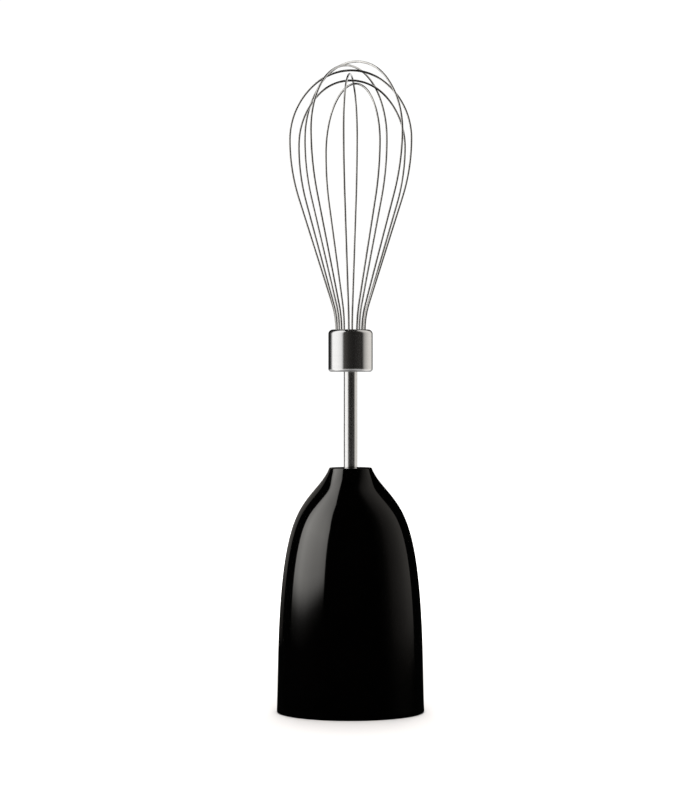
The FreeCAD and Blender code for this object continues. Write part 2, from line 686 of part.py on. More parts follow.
def ferrule():
    """Drawn steel cup over the plug: rounded at both ends, with its lip rolled in at the top."""
    wall = FERRULE_WALL
    foot = 1.4
    lip = 2.0
    inner_foot = foot - wall
    inner_lip = lip - wall
    hole = SHAFT_RADIUS + 0.1
    r = FERRULE_RADIUS
    low = FERRULE_BOTTOM
    high = FERRULE_TOP

    def arc(centre, radius, start):
        """A quarter circle that starts at an angle, in degrees, in the outline's plane."""
        points = []
        for degrees in (start, start + 45, start + 90):
            x, z = polar(radius, degrees)
            points.append(vector(centre[0] + x, 0, centre[1] + z))
        return Part.Arc(*points).toShape()

    edges = polyline([(hole, low), (r - foot, low)])
    edges.append(arc((r - foot, low + foot), foot, -90))
    edges += polyline([(r, low + foot), (r, high - lip)])
    edges.append(arc((r - lip, high - lip), lip, 0))
    edges += polyline([(r - lip, high), (r - lip, high - wall)])
    edges.append(arc((r - lip, high - lip), inner_lip, 0))
    edges += polyline([(r - wall, high - lip), (r - wall, low + foot)])
    edges.append(arc((r - foot, low + foot), inner_foot, -90))
    edges += polyline([(r - foot, low + wall), (hole, low + wall), (hole, low)])
    outline = Part.Wire(Part.__sortEdges__(edges))
    keep("ferrule", Part.Face(outline).revolve(ORIGIN, Z, 360))


def loop_frame(loop):
    """The directions along a loop's plane and up it."""
    along = vector(*polar(1.0, loop["turn"]), 0)
    upright = Z * loop["top"] + Z.cross(along) * loop["lean"]
    return along, upright.normalize()


def loop_path(loop):
    """The loop's centreline as tangent arcs and straight runs: out of one hole, over the crown
    and down into the other."""
    along, upright = loop_frame(loop)
    middle = Z * FERRULE_TOP
    start = WIRE_CIRCLE
    stretch = 1 / upright.z
    half = loop["half"]
    waist = loop["waist"] * stretch
    rise = loop["top"] * stretch - waist

    slope = math.atan(WIRE_FLARE * (half - start) / waist)
    bends = (waist * math.tan(slope) - (half - start)) * math.cos(slope) / (1 - math.cos(slope))
    side_bend = bends - WIRE_BEND
    crown = loop["crown"] * half * half / rise
    shoulder = (half * half + (rise - crown) ** 2 - crown * crown) / (2 * (half - crown))
    turn = math.acos((shoulder - half) / (shoulder - crown))

    def bent(centre, radius, degrees):
        return centre[0] + radius * math.cos(degrees), centre[1] + radius * math.sin(degrees)

    # Each entry is an end point with, for an arc, the middle of the arc before it.
    out = (start + WIRE_BEND, 0.0)
    side = (half - side_bend, waist)
    round_side = (half - shoulder, waist)
    steps = [
        (None, (start, 0.0)),
        (bent(out, WIRE_BEND, math.pi - slope / 2), bent(out, WIRE_BEND, math.pi - slope)),
        (None, bent(side, side_bend, -slope)),
        (bent(side, side_bend, -slope / 2), (half, waist)),
        (bent(round_side, shoulder, turn / 2), bent(round_side, shoulder, turn)),
    ]

    def place(point, mirrored):
        sideways = -point[0] if mirrored else point[0]
        return middle + along * sideways + upright * point[1]

    def half_loop(mirrored):
        here = place((start, -WIRE_GRIP), mirrored)
        edges = []
        for via, there in steps:
            end = place(there, mirrored)
            if via is None:
                edges.append(Part.LineSegment(here, end).toShape())
            else:
                edges.append(Part.Arc(here, place(via, mirrored), end).toShape())
            here = end
        return edges, here

    right, right_end = half_loop(False)
    left, left_end = half_loop(True)
    over = Part.Arc(left_end, place((0.0, waist + rise), False), right_end).toShape()
    return Part.Wire(Part.__sortEdges__(left + [over] + right))


def grip_holes(loop):
    """The two slightly wider holes that a loop's ends fill in the plug."""
    along, upright = loop_frame(loop)
    holes = []
    for side in (-WIRE_CIRCLE, WIRE_CIRCLE):
        foot = Z * FERRULE_TOP + along * side - upright * (WIRE_GRIP + 0.2)
        holes.append(Part.makeCylinder(WIRE_RADIUS + 0.04, WIRE_GRIP + 3.0, foot, upright))
    return holes


def whisk_wires():
    for number, loop in enumerate(WIRE_LOOPS, start=1):
        path = loop_path(loop)
        first = path.OrderedVertexes[0].Point
        section = Part.Wire(Part.makeCircle(WIRE_RADIUS, first, loop_frame(loop)[1]))
        keep(f"whisk_wire_{number}", path.makePipeShell([section], True, False))


def ferrule_plug():
    """Moulded plastic core that holds the shaft and the wire ends inside the ferrule."""
    inner = SHAFT_RADIUS + SEAT
    outer = FERRULE_RADIUS - FERRULE_WALL - SEAT
    floor = FERRULE_BOTTOM + FERRULE_WALL + SEAT
    crown = FERRULE_TOP - 0.6
    mouth = FERRULE_RADIUS - 2.1
    bevel = 0.7
    shaft_end = FERRULE_TOP - 4.9
    outline = [(inner, floor), (outer - bevel, floor), (outer, floor + bevel), (outer, FERRULE_TOP - 2.4)]
    outline += [(mouth, FERRULE_TOP - 1.3), (mouth, crown), (0, crown)]
    outline += [(0, shaft_end), (inner, shaft_end)]
    plug = revolved(outline)
    for loop in WIRE_LOOPS:
        for hole in grip_holes(loop):
            plug = plug.cut(hole)
    keep("ferrule_plug", plug)


# ---- build -------------------------------------------------------------------------------------


def main():
    bell_shell()
    coupling_sleeve()
    gearbox_housing()
    gearbox_cover()
    gearbox_screws()
    bushes()
    shaft_seal()
    ring_gear()
    planets("first", FIRST_GEARS)
    planets("second", SECOND_GEARS)
    input_drive()
    first_carrier()
    output_carrier()
    output_spindle()
    whisk_shaft()
    ferrule()
    ferrule_plug()
    whisk_wires()

    os.makedirs("parts", exist_ok=True)
    for name, shape in sorted(parts.items()):
        shape.exportStep(os.path.join("parts", name + ".step"))
        volume = sum(solid.Volume for solid in shape.Solids)
        print(f"{name}: {len(shape.Solids)} solid(s), {volume:.1f} mm3, valid {shape.isValid()}")


main()
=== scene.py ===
"""Looks of a stick mixer's whisk attachment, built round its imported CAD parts.

What shows from outside is rebuilt here as fine meshes on the same outlines as the CAD parts: the
bell, the ferrule, the whisk's shaft and its six wire loops. The socket, gearbox, seals and
screws stay as packed. Every piece gets a procedural material. Shapes are drawn in millimetres,
which MM turns into metres; everything else is in metres.
"""

import json
import math

import bpy
import numpy as np
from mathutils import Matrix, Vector


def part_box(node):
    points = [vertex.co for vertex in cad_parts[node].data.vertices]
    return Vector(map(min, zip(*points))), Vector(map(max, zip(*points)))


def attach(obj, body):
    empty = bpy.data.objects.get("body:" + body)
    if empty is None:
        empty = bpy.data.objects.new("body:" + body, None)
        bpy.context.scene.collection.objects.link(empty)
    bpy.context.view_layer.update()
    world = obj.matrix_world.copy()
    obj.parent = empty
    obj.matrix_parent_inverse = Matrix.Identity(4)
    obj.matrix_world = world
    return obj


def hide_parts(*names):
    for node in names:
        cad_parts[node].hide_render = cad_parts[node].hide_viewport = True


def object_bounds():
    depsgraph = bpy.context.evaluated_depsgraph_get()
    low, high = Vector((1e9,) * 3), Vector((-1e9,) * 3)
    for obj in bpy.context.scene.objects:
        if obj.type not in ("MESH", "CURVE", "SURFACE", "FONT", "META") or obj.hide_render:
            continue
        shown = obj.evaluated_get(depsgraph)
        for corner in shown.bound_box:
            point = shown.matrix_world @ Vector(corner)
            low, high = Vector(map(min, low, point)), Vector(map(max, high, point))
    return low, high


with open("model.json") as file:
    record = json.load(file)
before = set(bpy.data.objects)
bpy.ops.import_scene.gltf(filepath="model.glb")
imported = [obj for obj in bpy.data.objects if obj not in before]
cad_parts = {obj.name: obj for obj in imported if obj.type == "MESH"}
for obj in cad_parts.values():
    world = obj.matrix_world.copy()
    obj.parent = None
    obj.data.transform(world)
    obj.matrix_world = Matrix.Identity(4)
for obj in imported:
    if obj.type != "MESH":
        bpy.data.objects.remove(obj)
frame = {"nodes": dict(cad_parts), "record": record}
cad_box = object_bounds()

MM = 0.001

# ---- shapes that the CAD parts share -----------------------------------------------------------

# Outline of the bell, as (radius, height) in millimetres.
BELL_OUTLINE = [
    (33.0, 0.0),
    (32.1, 35.0),
    (30.4, 59.5),
    (27.4, 77.5),
    (22.6, 90.4),
    (16.9, 98.4),
    (12.4, 103.9),
    (9.4, 109.2),
]
BELL_WALL = 2.2
BELL_RIM_ROUND = 0.8
BELL_NECK_ROUND = 0.6
BELL_SEGMENTS = 256
NECK_HOLE = 3.6
SEAL_SEAT = 106.4
SEAL_SEAT_RADIUS = 8.0
# How far the ceiling round the seal's seat lies above the end of the inner wall, and how far in
# from that end it starts.
CEILING_RISE = 1.2
CEILING_INSET = 2.0
# How far the edge of the neck's hole and the inner edge of the rim are cut back.
EDGE_BREAK = 0.25

# The screw posts inside the bell; their angles are in degrees.
POST_CIRCLE = 27.2
POST_RADIUS = 2.8
POST_PILOT = 1.3
POST_BOTTOM = 33.7
POST_PILOT_TOP = 48.0
POST_EDGE_BREAK = 0.2
POST_ANGLES = (0, 120, 240)

FERRULE_WALL = 0.8
FERRULE_FOOT = 1.4
FERRULE_LIP = 2.0
FERRULE_HOLE = 3.1
FERRULE_HOLE_BREAK = 0.2

# The whisk's shaft: two flats at its lower end, a clip groove, and grip grooves in the ferrule.
SHAFT_RADIUS = 3.0
SHAFT_ACROSS_FLATS = 5.0
SHAFT_FLATS_TOP = 80.0
# Height of the step from the flats to the round shaft.
FLATS_STEP = 0.02
SHAFT_CHAMFER = 0.5
# Bottom, top and radius of the clip's groove.
CLIP_GROOVE = (93.4, 94.6, 2.7)
# The grip grooves, counted from the ferrule's foot.
GRIP_GROOVES = 3
GRIP_START = 4.0
GRIP_PITCH = 3.0
GRIP_WIDTH = 1.0
GRIP_DEPTH = 0.3

# The six wire loops; each runs through the whisk's axis. "turn" is the direction of its plane in
# degrees from +X, "half" its half width, "waist" and "top" the heights of its widest point and
# crown above the ferrule, "lean" how far its crown stands out of the upright, and "crown" how
# flat the crown is.
WIRE_LOOPS = [
    dict(turn=-38.0, half=27.6, waist=87.5, top=119.7, lean=2.5, crown=1.05),
    dict(turn=-128.0, half=27.5, waist=87.5, top=117.8, lean=-0.7, crown=1.05),
    dict(turn=-8.0, half=27.4, waist=85.0, top=115.6, lean=0.0, crown=1.0),
    dict(turn=-96.8, half=25.5, waist=88.9, top=113.9, lean=0.0, crown=1.0),
    dict(turn=-158.0, half=25.5, waist=81.5, top=110.8, lean=3.1, crown=1.03),
    dict(turn=-64.0, half=27.4, waist=81.5, top=109.6, lean=1.3, crown=1.015),
]
WIRE_RADIUS = 0.5
WIRE_CIRCLE = 6.5
WIRE_GRIP = 13.0
WIRE_BEND = 38.0
WIRE_FLARE = 1.295
WIRE_SIDES = 20


# ---- mesh helpers ------------------------------------------------------------------------------

# A smaller radius than this is a point on the axis.
ON_AXIS = 1e-6


def finish_mesh(name, points, faces, sharp=38.0):
    """A smooth-shaded object from points in millimetres, with edges over an angle kept crisp."""
    mesh = bpy.data.meshes.new(name)
    mesh.from_pydata([tuple(c * MM for c in p) for p in points], [], faces)
    mesh.validate()
    mesh.shade_smooth()
    mesh.set_sharp_from_angle(angle=math.radians(sharp))
    piece = bpy.data.objects.new(name, mesh)
    bpy.context.scene.collection.objects.link(piece)
    return piece


def lathe(outline, segments, shape=None):
    """Points and faces of a solid of revolution about Z. The outline is a loop of (radius,
    height) that runs anticlockwise in that plane. Points on the axis become single points.
    shape(x, y, z) may move each point."""
    points = []
    rings = []
    for radius, height in outline:
        count = 1 if radius < ON_AXIS else segments
        rings.append(range(len(points), len(points) + count))
        for i in range(count):
            turn = 2 * math.pi * i / segments
            point = (radius * math.cos(turn), radius * math.sin(turn), height)
            points.append(shape(*point) if shape else point)
    faces = []
    for low, high in zip(rings, rings[1:] + rings[:1]):
        if len(low) == 1 and len(high) == 1:
            continue
        for i in range(segments):
            j = (i + 1) % segments
            if len(low) == 1:
                faces.append((low[0], high[j], high[i]))
            elif len(high) == 1:
                faces.append((low[i], low[j], high[0]))
            else:
                faces.append((low[i], low[j], high[j], high[i]))
    return points, faces


def arc(centre, radius, start, end, steps=10):
    """Points on an arc, angles in degrees."""
    turns = [math.radians(start + (end - start) * i / steps) for i in range(steps + 1)]
    return [(centre[0] + radius * math.cos(a), centre[1] + radius * math.sin(a)) for a in turns]


def held_edges(outline, hold=0.12):
    """Adds a point just inside each end of every longer straight run, to hold its shading flat."""
    result = []
    for here, there in zip(outline, outline[1:] + outline[:1]):
        result.append(here)
        run = math.dist(here, there)
        if run > 4 * hold:
            for share in (hold / run, 1 - hold / run):
                result.append(tuple(a + (b - a) * share for a, b in zip(here, there)))
    return result


def smooth_curve(points, steps):
    """A cubic spline through points, parametrised by chord length. Its slope at each end is that
    of the cubic through the four points nearest to that end."""
    p = np.array(points, float)
    lengths = np.linalg.norm(np.diff(p, axis=0), axis=1)
    t = np.concatenate([[0.0], np.cumsum(lengths)])

    def end_slope(ts, ps, at):
        return [np.polyval(np.polyder(np.polyfit(ts, ps[:, k], 3)), at) for k in range(2)]

    count = len(p)
    system = np.zeros((count, count))
    right = np.zeros((count, 2))
    system[0, 0] = system[-1, -1] = 1.0
    right[0] = end_slope(t[:4], p[:4], t[0])
    right[-1] = end_slope(t[-4:], p[-4:], t[-1])
    for i in range(1, count - 1):
        before, after = lengths[i - 1], lengths[i]
        system[i, i - 1 : i + 2] = after, 2 * (before + after), before
        slopes = np.diff(p[i - 1 : i + 2], axis=0) / [[before], [after]]
        right[i] = 3 * (after * slopes[0] + before * slopes[1])
    slope = np.linalg.solve(system, right)

    places = np.linspace(t[0], t[-1], steps + 1)
    span = np.clip(np.searchsorted(t, places, side="right") - 1, 0, count - 2)
    h = lengths[span][:, None]
    u = (places - t[span])[:, None] / h
    curve = (1 + 2 * u) * (1 - u) ** 2 * p[span] + u * (1 - u) ** 2 * h * slope[span]
    curve += u * u * (3 - 2 * u) * p[span + 1] - u * u * (1 - u) * h * slope[span + 1]
    return curve


def outward(curve):
    """Unit normals on the outer side of a curve that runs upwards."""
    along = np.gradient(curve, axis=0)
    along /= np.linalg.norm(along, axis=1)[:, None]
    return np.stack([along[:, 1], -along[:, 0]], axis=1)


# ---- bell --------------------------------------------------------------------------------------


def bell_section():
    """The bell's wall as one closed (radius, height) loop, and its inner curve."""
    curve = smooth_curve(BELL_OUTLINE, steps=220)
    normal = outward(curve)
    height = BELL_OUTLINE[-1][1]
    # Where the rounds at the rim and the neck leave the outline.
    low = int(np.argmin(np.abs(curve[:, 1] - BELL_RIM_ROUND * (normal[:, 1] + 1))))
    rest = height - BELL_NECK_ROUND * (1 - normal[:, 1])
    high = int(np.argmin(np.abs(curve[:, 1] - rest)))

    def centre(i, radius):
        return curve[i] - radius * normal[i]

    def facing(i):
        return math.degrees(math.atan2(normal[i, 1], normal[i, 0]))

    rim = (centre(low, BELL_RIM_ROUND)[0], BELL_RIM_ROUND)
    neck = (centre(high, BELL_NECK_ROUND)[0], height - BELL_NECK_ROUND)
    outside = arc(rim, BELL_RIM_ROUND, -90, facing(low))
    outside += [tuple(p) for p in curve[low + 1 : high]]
    outside += arc(neck, BELL_NECK_ROUND, facing(high), 90)

    shoulder = BELL_OUTLINE[-3]
    inner = curve - BELL_WALL * normal
    inner = inner[curve[:, 1] <= shoulder[1]][::2]
    inner[0] = (BELL_OUTLINE[0][0] - BELL_WALL, 0.0)
    top = inner[-1]
    ceiling = top[1] + CEILING_RISE
    throat = [
        (NECK_HOLE + EDGE_BREAK, height),
        (NECK_HOLE, height - EDGE_BREAK),
        (NECK_HOLE, SEAL_SEAT),
        (SEAL_SEAT_RADIUS, SEAL_SEAT),
        (SEAL_SEAT_RADIUS, ceiling),
        (top[0] - CEILING_INSET, ceiling),
    ]
    inside = [tuple(p) for p in inner[::-1]]
    inside[-1] = (inside[-1][0], EDGE_BREAK)
    inside.append((inside[-1][0] + EDGE_BREAK, 0.0))
    return outside + throat + inside, inner


def wall_post(inner, angle):
    """A screw post that stands inside the wall, with its pilot hole. It ends in mid-wall."""
    count = 32
    x, y = (POST_CIRCLE * f(math.radians(angle)) for f in (math.cos, math.sin))
    # Height at which the middle of the wall has a given radius.
    wall_r = inner[::-1, 0] + BELL_WALL / 2
    wall_z = inner[::-1, 1]
    # Rings of (radius, height) from the pilot's top, down and round to the wall, where None stands
    # for the middle of the wall.
    rings = [
        (POST_PILOT, POST_PILOT_TOP),
        (POST_PILOT, POST_BOTTOM),
        (POST_RADIUS - POST_EDGE_BREAK, POST_BOTTOM),
        (POST_RADIUS, POST_BOTTOM + POST_EDGE_BREAK),
        (POST_RADIUS, None),
        (POST_RADIUS / 2, None),
    ]
    points = []
    for radius, height in rings:
        for i in range(count):
            turn = 2 * math.pi * i / count
            px, py = x + radius * math.cos(turn), y + radius * math.sin(turn)
            top = float(np.interp(math.hypot(px, py), wall_r, wall_z)) if height is None else height
            points.append((px, py, top))
    faces = []
    for row in range(len(rings) - 1):
        for i in range(count):
            j = (i + 1) % count
            a, b = row * count, (row + 1) * count
            faces.append((a + i, a + j, b + j, b + i))
    points.append((x, y, POST_PILOT_TOP))
    points.append((x, y, float(np.interp(POST_CIRCLE, wall_r, wall_z))))
    last = (len(rings) - 1) * count
    for i in range(count):
        j = (i + 1) % count
        faces.append((len(points) - 2, j, i))
        faces.append((len(points) - 1, last + i, last + j))
    return points, faces


def make_bell():
    """The bell's wall with its screw posts inside."""
    section, inner = bell_section()
    points, faces = lathe(section, BELL_SEGMENTS)
    for angle in POST_ANGLES:
        post_points, post_faces = wall_post(inner, angle)
        faces += [tuple(i + len(points) for i in face) for face in post_faces]
        points += post_points
    return finish_mesh("bell_body", points, faces)


# ---- ferrule and shaft -------------------------------------------------------------------------


def make_ferrule():
    """Drawn cup with a rounded foot and its lip rolled in at the top."""
    low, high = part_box("ferrule")
    radius = high.x / MM
    bottom, top = low.z / MM, high.z / MM
    wall, foot, lip = FERRULE_WALL, FERRULE_FOOT, FERRULE_LIP
    hole, cut = FERRULE_HOLE, FERRULE_HOLE_BREAK
    outline = [(hole + cut, bottom)]
    outline += arc((radius - foot, bottom + foot), foot, -90, 0)
    outline += arc((radius - lip, top - lip), lip, 0, 90, steps=14)
    outline += arc((radius - lip, top - wall / 2), wall / 2, 90, 270, steps=8)[1:-1]
    outline += arc((radius - lip, top - lip), lip - wall, 90, 0)
    outline += arc((radius - foot, bottom + foot), foot - wall, 0, -90)
    outline += [(hole, bottom + wall), (hole, bottom + cut)]
    points, faces = lathe(held_edges(outline), segments=160)
    return finish_mesh("ferrule_cup", points, faces)


def make_shaft():
    """Round rod with chamfered ends, flats and grooves."""
    low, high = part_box("whisk_shaft")
    bottom, top = low.z / MM, high.z / MM
    r, cut = SHAFT_RADIUS, SHAFT_CHAMFER
    groove_low, groove_high, groove = CLIP_GROOVE
    outline = [(0.0, bottom), (r - cut, bottom), (r, bottom + cut)]
    outline += [(r, SHAFT_FLATS_TOP - FLATS_STEP), (r, SHAFT_FLATS_TOP)]
    outline += [(r, groove_low), (groove, groove_low), (groove, groove_high), (r, groove_high)]
    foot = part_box("ferrule")[0].z / MM
    for i in range(GRIP_GROOVES):
        level = foot + GRIP_START + GRIP_PITCH * i
        outline += [(r, level), (r - GRIP_DEPTH, level)]
        outline += [(r - GRIP_DEPTH, level + GRIP_WIDTH), (r, level + GRIP_WIDTH)]
    outline += [(r, top - cut), (r - cut, top), (0.0, top)]
    half = SHAFT_ACROSS_FLATS / 2

    def flatten(x, y, z):
        below = z < SHAFT_FLATS_TOP - FLATS_STEP / 2
        return (x, max(-half, min(half, y)), z) if below else (x, y, z)

    points, faces = lathe(held_edges(outline), segments=96, shape=flatten)
    return finish_mesh("whisk_rod", points, faces, sharp=25.0)


# ---- wires -------------------------------------------------------------------------------------


def half_path(loop, stretch):
    """Half of a loop from its hole to its crown, as (distance from the axis, height)."""
    start, half = WIRE_CIRCLE, loop["half"]
    waist = loop["waist"] * stretch
    rise = loop["top"] * stretch - waist
    slope = math.atan(WIRE_FLARE * (half - start) / waist)
    bends = (waist * math.tan(slope) - (half - start)) * math.cos(slope) / (1 - math.cos(slope))
    side = bends - WIRE_BEND
    crown = loop["crown"] * half * half / rise
    shoulder = (half * half + (rise - crown) ** 2 - crown * crown) / (2 * (half - crown))
    turn = math.degrees(math.acos((shoulder - half) / (shoulder - crown)))
    slope = math.degrees(slope)

    path = [(start, -WIRE_GRIP), (start, -WIRE_GRIP / 2)]
    path += arc((start + WIRE_BEND, 0.0), WIRE_BEND, 180, 180 - slope, steps=12)
    path += arc((half - side, waist), side, -slope, 0, steps=24)
    path += arc((half - shoulder, waist), shoulder, 0, turn, steps=28)[1:]
    path += arc((0.0, waist + rise - crown), crown, turn, 90, steps=24)[1:]
    return path


def make_wire(number, loop):
    """A loop of round wire in one leaning plane through the axis."""
    turn = math.radians(loop["turn"])
    along = Vector((math.cos(turn), math.sin(turn), 0.0))
    upright = Vector((0, 0, loop["top"])) + Vector((0, 0, 1)).cross(along) * loop["lean"]
    upright.normalize()
    side = along.cross(upright)
    foot = Vector((0, 0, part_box("ferrule")[1].z / MM))
    flat = half_path(loop, 1 / upright.z)
    flat += [(-x, z) for x, z in flat[-2::-1]]
    centre = [foot + along * x + upright * z for x, z in flat]

    points = []
    for i, here in enumerate(centre):
        run = centre[min(i + 1, len(centre) - 1)] - centre[max(i - 1, 0)]
        across = side.cross(run.normalized())
        for k in range(WIRE_SIDES):
            angle = 2 * math.pi * k / WIRE_SIDES
            points.append(here + WIRE_RADIUS * (side * math.cos(angle) + across * math.sin(angle)))
    faces = []
    for i in range(len(centre) - 1):
        a, b = i * WIRE_SIDES, (i + 1) * WIRE_SIDES
        for k in range(WIRE_SIDES):
            j = (k + 1) % WIRE_SIDES
            faces.append((a + k, a + j, b + j, b + k))
    last = len(points) - WIRE_SIDES
    faces.append(tuple(reversed(range(WIRE_SIDES))))
    faces.append(tuple(range(last, last + WIRE_SIDES)))
    return finish_mesh(f"wire_loop_{number}", points, faces)


# ---- materials ---------------------------------------------------------------------------------

MICRON = 0.000001

# The middle part of a noise, where nearly all its values lie, and the sockets of a Map Range node.
NOISE_LOW = 0.3
NOISE_HIGH = 0.7
RANGE_SOCKETS = ("From Min", "From Max", "To Min", "To Max")


def grey(value):
    """A colour without tint."""
    return (value, value, value)


class Finish:
    """A material under construction: a Principled shader and the textures that feed it."""

    def __init__(self, name, metallic=0.0, **constants):
        self.material = bpy.data.materials.new(name)
        self.material.use_nodes = True
        self.nodes = self.material.node_tree.nodes
        self.links = self.material.node_tree.links
        self.shader = self.nodes["Principled BSDF"]
        self.shader.inputs["Metallic"].default_value = metallic
        for socket, value in constants.items():
            self.shader.inputs[socket.replace("_", " ")].default_value = value
        self.place = self.nodes.new("ShaderNodeTexCoord").outputs["Object"]
        self.relief = None

    def stretched(self, scale):
        """Object coordinates, scaled per axis; features repeat about every metre / scale."""
        mapping = self.nodes.new("ShaderNodeMapping")
        mapping.inputs["Scale"].default_value = scale
        self.links.new(self.place, mapping.inputs["Vector"])
        return mapping.outputs["Vector"]

    def noise(self, scale, detail, rough=0.5):
        """A noise of 0 to 1. scale is one number, or three for a pattern with a direction."""
        scale = (scale,) * 3 if isinstance(scale, (int, float)) else scale
        texture = self.nodes.new("ShaderNodeTexNoise")
        texture.inputs["Scale"].default_value = 1.0
        texture.inputs["Detail"].default_value = detail
        texture.inputs["Roughness"].default_value = rough
        self.links.new(self.stretched(scale), texture.inputs["Vector"])
        return texture.outputs["Fac"]

    def spread(self, value, low, high):
        """A noise, stretched to low to high."""
        ranged = self.nodes.new("ShaderNodeMapRange")
        for socket, number in zip(RANGE_SOCKETS, (NOISE_LOW, NOISE_HIGH, low, high)):
            ranged.inputs[socket].default_value = number
        self.links.new(value, ranged.inputs["Value"])
        return ranged.outputs["Result"]

    def colour(self, value, dark, light):
        """Base colour between two colours, by a noise."""
        blend = self.nodes.new("ShaderNodeValToRGB")
        ends = blend.color_ramp.elements
        for end, position, colour in zip(ends, (NOISE_LOW, NOISE_HIGH), (dark, light)):
            end.position = position
            end.color = (*colour, 1)
        self.links.new(value, blend.inputs["Fac"])
        self.links.new(blend.outputs["Color"], self.shader.inputs["Base Color"])

    def roughness(self, value, low, high):
        """Roughness between low and high, by a noise."""
        self.links.new(self.spread(value, low, high), self.shader.inputs["Roughness"])

    def bump(self, value, depth):
        """Adds relief of this depth, in metres, on top of what is there."""
        node = self.nodes.new("ShaderNodeBump")
        node.inputs["Strength"].default_value = 1.0
        node.inputs["Distance"].default_value = depth
        self.links.new(value, node.inputs["Height"])
        if self.relief:
            self.links.new(self.relief, node.inputs["Normal"])
        self.relief = node.outputs["Normal"]
        self.links.new(self.relief, self.shader.inputs["Normal"])


def gloss_black():
    """Polished black moulding: deep gloss, uneven by a trace, and a moulded wall's faint waves."""
    finish = Finish("gloss_black", IOR=1.5, Coat_Weight=1.0, Coat_Roughness=0.03, Coat_IOR=1.5)
    finish.colour(finish.noise(60, 3), grey(0.0002), (0.0006, 0.0005, 0.0005))
    finish.roughness(finish.noise(900, 4, 0.6), 0.04, 0.1)
    finish.bump(finish.noise(55, 1), 12 * MICRON)
    return finish.material


def moulding(name, dark, light, rough, grain, depth):
    """Satin moulded plastic with a fine grain and slightly cloudy colour."""
    finish = Finish(name, IOR=1.48)
    finish.colour(finish.noise(300, 4, 0.6), dark, light)
    finish.roughness(finish.noise(2500, 3), *rough)
    finish.bump(finish.noise(grain, 2), depth)
    return finish.material


def rubber():
    """Black seal rubber, dull and slightly rough."""
    finish = Finish("seal_rubber", IOR=1.5)
    finish.colour(finish.noise(800, 4), grey(0.012), (0.022, 0.022, 0.021))
    finish.roughness(finish.noise(3000, 3), 0.55, 0.8)
    finish.bump(finish.noise(5000, 2), 10 * MICRON)
    return finish.material


def lined_steel(name, dark, light, rough, lines, depth, along):
    """Steel finished with fine lines round the Z axis, as brushing or turning leaves them."""
    finish = Finish(name, metallic=1.0)
    fine = finish.noise((along, along, lines), 3, 0.7)
    finish.colour(finish.noise((along / 2, along / 2, lines / 4), 2), dark, light)
    finish.roughness(fine, *rough)
    finish.bump(fine, depth)
    return finish.material


def drawn_steel(name, dark, light, rough, scale, depth):
    """Bright steel with the faint mottling of drawing and polishing."""
    finish = Finish(name, metallic=1.0)
    finish.colour(finish.noise(scale / 4, 3), dark, light)
    finish.roughness(finish.noise(scale, 3, 0.6), *rough)
    finish.bump(finish.noise(scale * 1.6, 2), depth)
    return finish.material


def plastics():
    """Each moulded plastic. Columns: name, darkest and lightest colour, range of roughness, grain
    per metre, and its depth in microns."""
    rows = [
        ("sleeve", (0.016, 0.016, 0.017), (0.024, 0.024, 0.025), (0.32, 0.46), 4000, 12),
        ("gearbox_plastic", (0.06, 0.06, 0.064), (0.11, 0.11, 0.115), (0.4, 0.6), 3500, 15),
        ("ring_plastic", (0.48, 0.47, 0.43), (0.6, 0.59, 0.54), (0.35, 0.5), 3000, 8),
        ("gear_plastic", (0.7, 0.68, 0.61), (0.8, 0.78, 0.72), (0.3, 0.42), 3000, 6),
        ("coupling_plastic", (0.03, 0.03, 0.032), (0.05, 0.05, 0.053), (0.35, 0.5), 3500, 12),
        ("plug_plastic", (0.03, 0.03, 0.031), (0.05, 0.05, 0.051), (0.35, 0.5), 3500, 10),
    ]
    return {name: moulding(name, *row, microns * MICRON) for name, *row, microns in rows}


def polished_metals():
    """Each drawn or polished metal, in the columns of the plastics."""
    rows = [
        ("bronze", (0.42, 0.27, 0.13), (0.6, 0.42, 0.23), (0.3, 0.48), 6000, 8),
        ("carrier_steel", grey(0.4), (0.52, 0.52, 0.51), (0.3, 0.45), 4000, 5),
        ("spring_steel", (0.28, 0.28, 0.29), (0.38, 0.38, 0.39), (0.25, 0.35), 5000, 3),
        ("screw_steel", (0.5, 0.51, 0.52), (0.66, 0.67, 0.68), (0.2, 0.34), 4000, 4),
        ("wire_steel", grey(0.5), grey(0.62), (0.06, 0.12), 900, 0.06),
    ]
    return {name: drawn_steel(name, *row, microns * MICRON) for name, *row, microns in rows}


def turned_metals():
    """Each steel with lines round it, in the columns of the plastics, with lines for grain. A last
    column tells how often a line varies along its run, per metre."""
    rows = [
        ("pin_steel", grey(0.5), grey(0.64), (0.16, 0.28), 9000, 1, 40),
        ("shaft_steel", (0.61, 0.6, 0.59), (0.66, 0.65, 0.64), (0.155, 0.18), 2600, 0.06, 5),
        ("ferrule_steel", (0.58, 0.575, 0.57), (0.63, 0.62, 0.61), (0.12, 0.15), 3200, 0.08, 5),
    ]
    return {
        name: lined_steel(name, *row, microns * MICRON, along)
        for name, *row, microns, along in rows
    }


def make_materials():
    """One material for each of the record's slots."""
    return {
        "bell": gloss_black(),
        "seal_rubber": rubber(),
        **plastics(),
        **polished_metals(),
        **turned_metals(),
    }


# ---- pieces on their bodies --------------------------------------------------------------------

materials = make_materials()
slot_of = {part["node"]: part["material_slot"] for part in frame["record"]["subparts"]}
bodies = frame["record"]["behaviour"]["bodies"]
body_of = {node: body for body, nodes in bodies.items() for node in nodes}


def stand_in(piece, node):
    """The piece is shown in place of a CAD node, on its body and with its material."""
    piece.data.materials.append(materials[slot_of[node]])
    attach(piece, body_of[node])
    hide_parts(node)
    return piece


for name, node in frame["nodes"].items():
    node.material_slots[0].material = materials[slot_of[name]]

